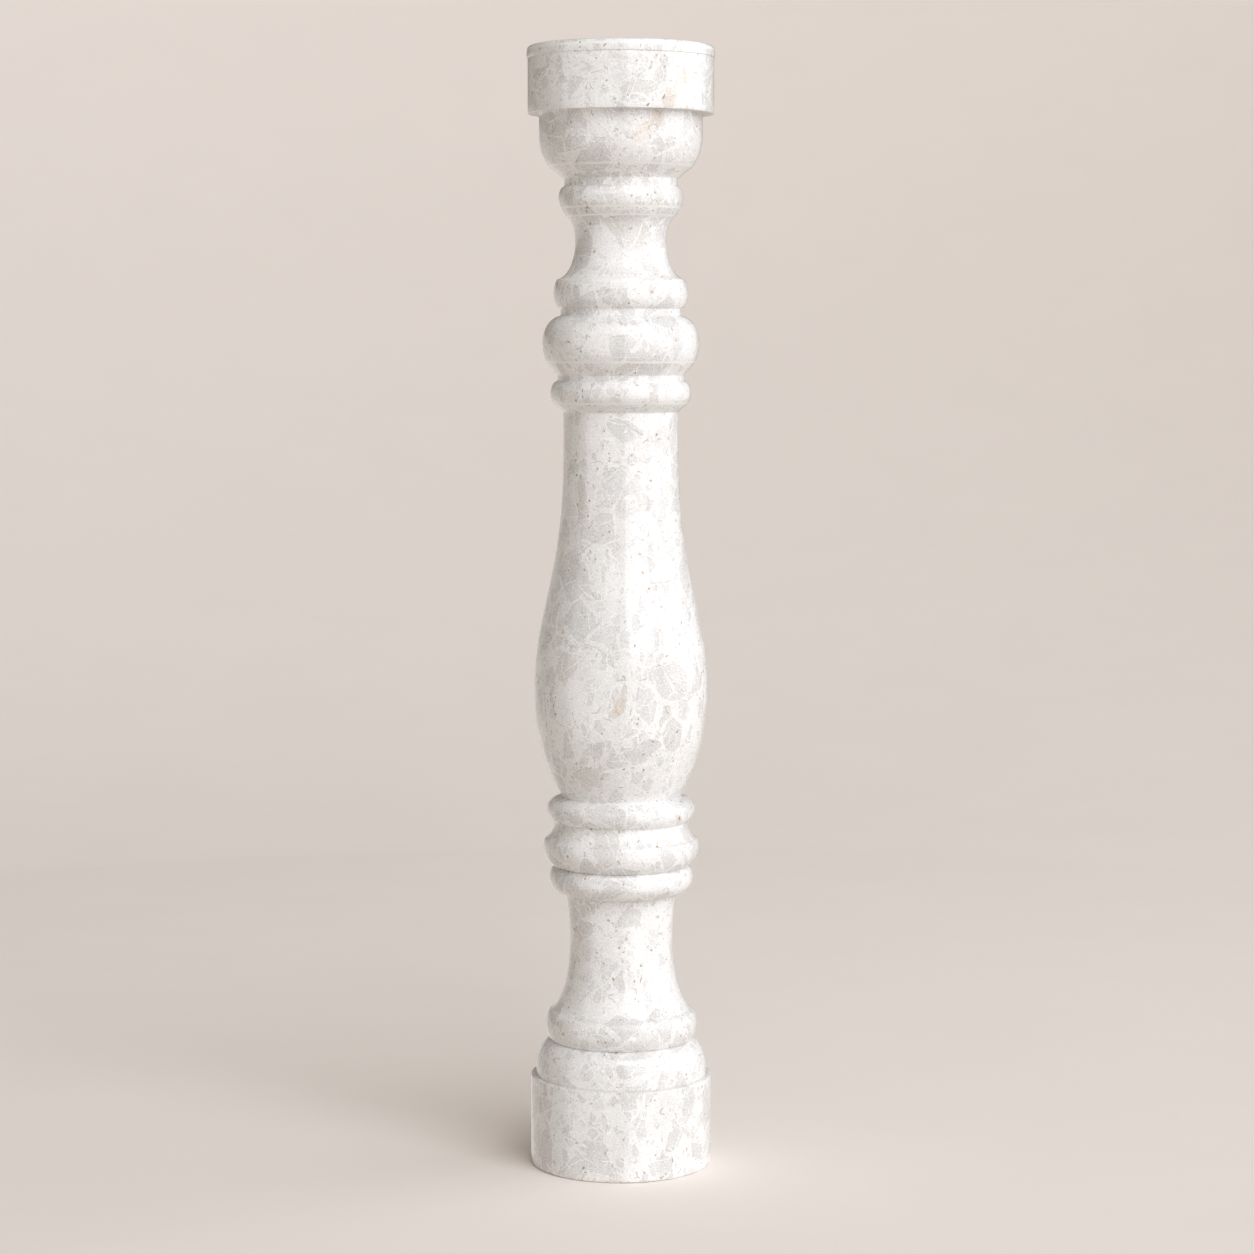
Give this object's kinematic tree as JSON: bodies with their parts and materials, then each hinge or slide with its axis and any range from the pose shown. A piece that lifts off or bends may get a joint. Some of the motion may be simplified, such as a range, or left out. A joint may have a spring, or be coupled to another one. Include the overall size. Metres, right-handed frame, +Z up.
{
  "type": "stone baluster",
  "caption": "Turned marble baluster with a round plinth, a waisted pedestal, a tapering vase shaft between ringed collars, and a bowl-shaped capital under a round cap.",
  "frame": {"origin": "centre of the underside of the plinth, on the surface it stands on", "axes": "+Z up along the turning axis; +X and +Y are any two square directions across it, because the turned form is the same all round"},
  "size_m": [0.1212, 0.1212, 0.73],
  "materials": {
    "marble": "honed warm white brecciated marble with pale grey clasts, fine white veins, small brown pits and a few rust stains"
  },
  "bodies": {
    "root": {"baluster": "marble"}
  },
  "joints": []
}
